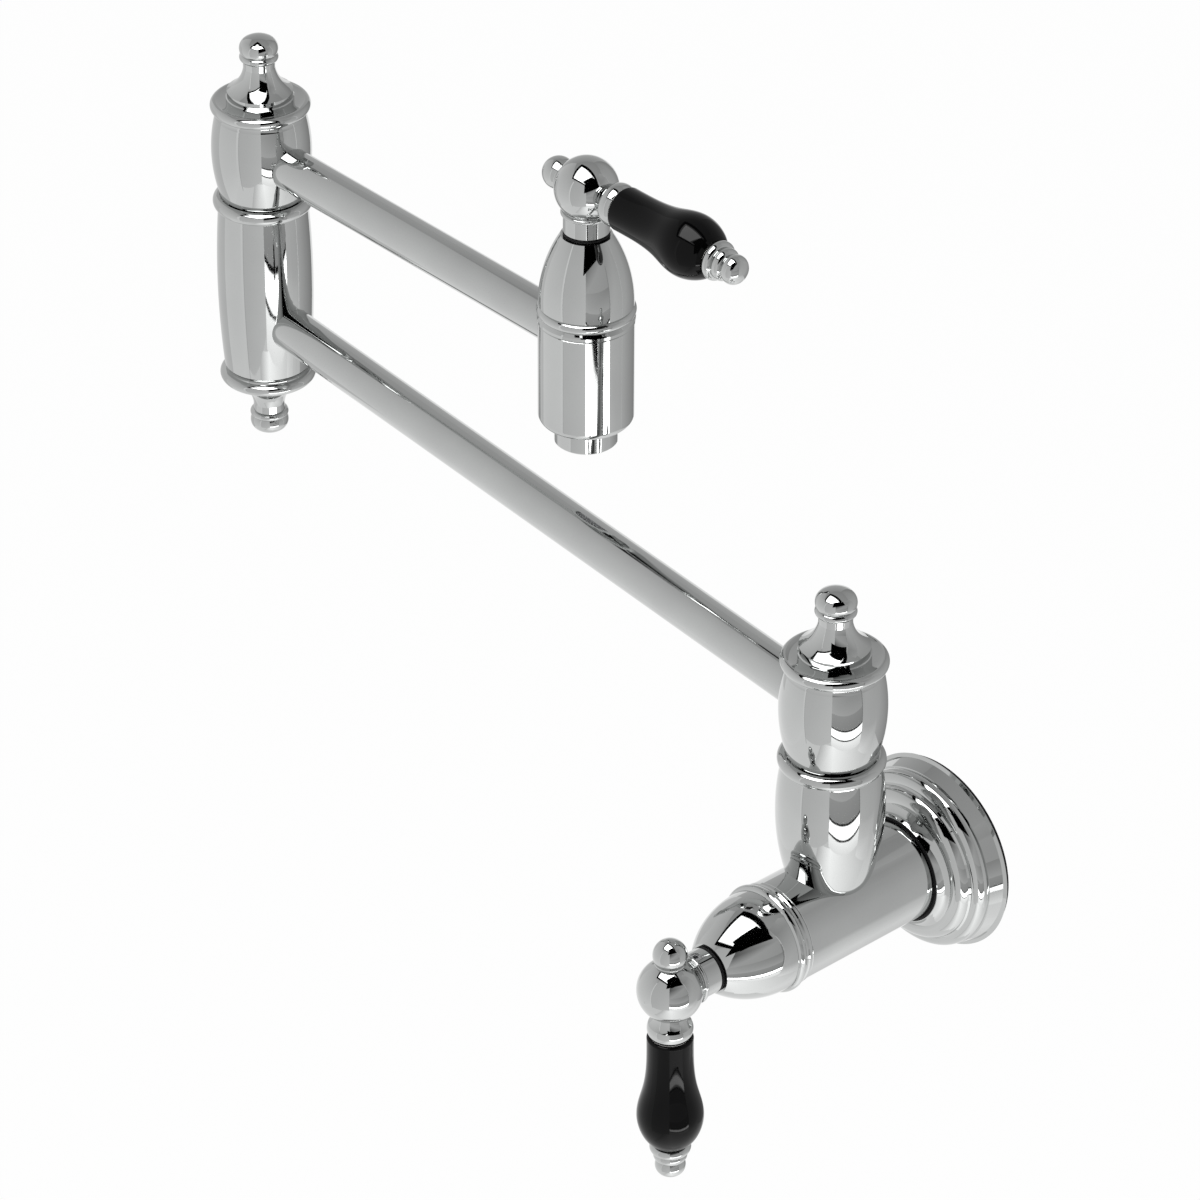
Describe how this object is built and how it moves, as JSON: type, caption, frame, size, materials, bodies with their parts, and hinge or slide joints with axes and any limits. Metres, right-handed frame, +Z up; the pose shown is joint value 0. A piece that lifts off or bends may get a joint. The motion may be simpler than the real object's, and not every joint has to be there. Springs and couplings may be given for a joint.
{
  "type": "wall mounted pot filler",
  "caption": "Wall mounted kitchen tap with two swinging jointed arms, for filling pots at the hob, with a lever valve at the wall and another on the spout.",
  "frame": {"origin": "middle of the wall face of the flange's gasket, on the axis of the valve body", "axes": "+X to the right for someone facing the wall, +Y into the wall, +Z up; the arms are parked along the wall towards -X, folded over each other"},
  "size_m": [0.4123, 0.1456, 0.3143],
  "materials": {
    "polished_chrome": "polished",
    "chromed_tube": "polished",
    "raw_brass": "machined",
    "stainless_steel": "satin",
    "black_rubber": "matte",
    "black_porcelain": "glossy",
    "alumina_ceramic": "lapped",
    "white_acetal": "smooth",
    "grey_plastic": "smooth"
  },
  "bodies": {
    "wall_mount": {"wall_flange": "polished_chrome", "flange_gasket": "black_rubber", "flange_o_ring": "black_rubber", "valve_body": "polished_chrome", "inlet_adapter": "raw_brass", "front_bonnet": "polished_chrome", "front_neck_o_ring": "black_rubber", "front_seat_seal": "black_rubber", "front_fixed_disc": "alumina_ceramic", "front_cartridge_body": "raw_brass", "tower_post": "raw_brass", "tower_post_o_rings": "black_rubber", "tower_glide_ring": "white_acetal", "tower_post_washer": "stainless_steel", "tower_post_nut": "stainless_steel"},
    "front_handle": {"front_turning_disc": "alumina_ceramic", "front_stem": "raw_brass", "front_stem_o_rings": "black_rubber", "front_hub": "polished_chrome", "front_grub_screw": "stainless_steel", "front_ball_knob": "polished_chrome", "front_lever_collar": "polished_chrome", "front_grip_washers": "white_acetal", "front_grip": "black_porcelain", "front_lever_rod": "stainless_steel", "front_lever_tip": "polished_chrome"},
    "long_arm": {"tower_barrel": "polished_chrome", "tower_finial": "polished_chrome", "long_arm_tube": "chromed_tube", "elbow_lower_barrel": "polished_chrome", "elbow_lower_finial": "polished_chrome", "elbow_post": "raw_brass", "elbow_post_o_rings": "black_rubber", "elbow_glide_ring": "white_acetal", "elbow_post_washer": "stainless_steel", "elbow_post_nut": "stainless_steel"},
    "short_arm": {"elbow_barrel": "polished_chrome", "elbow_finial": "polished_chrome", "short_arm_tube": "chromed_tube", "spout_body": "polished_chrome", "spout_bonnet": "polished_chrome", "spout_neck_o_ring": "black_rubber", "spout_seat_seal": "black_rubber", "spout_fixed_disc": "alumina_ceramic", "spout_cartridge_body": "raw_brass", "aerator_washer": "black_rubber", "aerator_housing": "polished_chrome", "aerator_insert": "grey_plastic"},
    "spout_handle": {"spout_turning_disc": "alumina_ceramic", "spout_stem": "raw_brass", "spout_stem_o_rings": "black_rubber", "spout_hub": "polished_chrome", "spout_grub_screw": "stainless_steel", "spout_ball_knob": "polished_chrome", "spout_lever_collar": "polished_chrome", "spout_grip_washers": "white_acetal", "spout_grip": "black_porcelain", "spout_lever_rod": "stainless_steel", "spout_lever_tip": "polished_chrome"}
  },
  "joints": [
    {"name": "tower_swing", "type": "hinge", "parent": "wall_mount", "child": "long_arm", "pos_m": [0, -0.056, 0.085], "axis": [0, 0, 1], "range_deg": [0, 190]},
    {"name": "elbow_swing", "type": "hinge", "parent": "long_arm", "child": "short_arm", "pos_m": [-0.35464, -0.02497, 0.156], "axis": [0, 0, 1], "continuous": true},
    {"name": "front_handle_turn", "type": "hinge", "parent": "wall_mount", "child": "front_handle", "pos_m": [0, -0.1335, 0], "axis": [0, -1, 0], "range_deg": [0, 90]},
    {"name": "spout_handle_turn", "type": "hinge", "parent": "short_arm", "child": "spout_handle", "pos_m": [-0.16218, -0.02833, 0.2196], "axis": [0, 0, -1], "range_deg": [0, 90]}
  ]
}
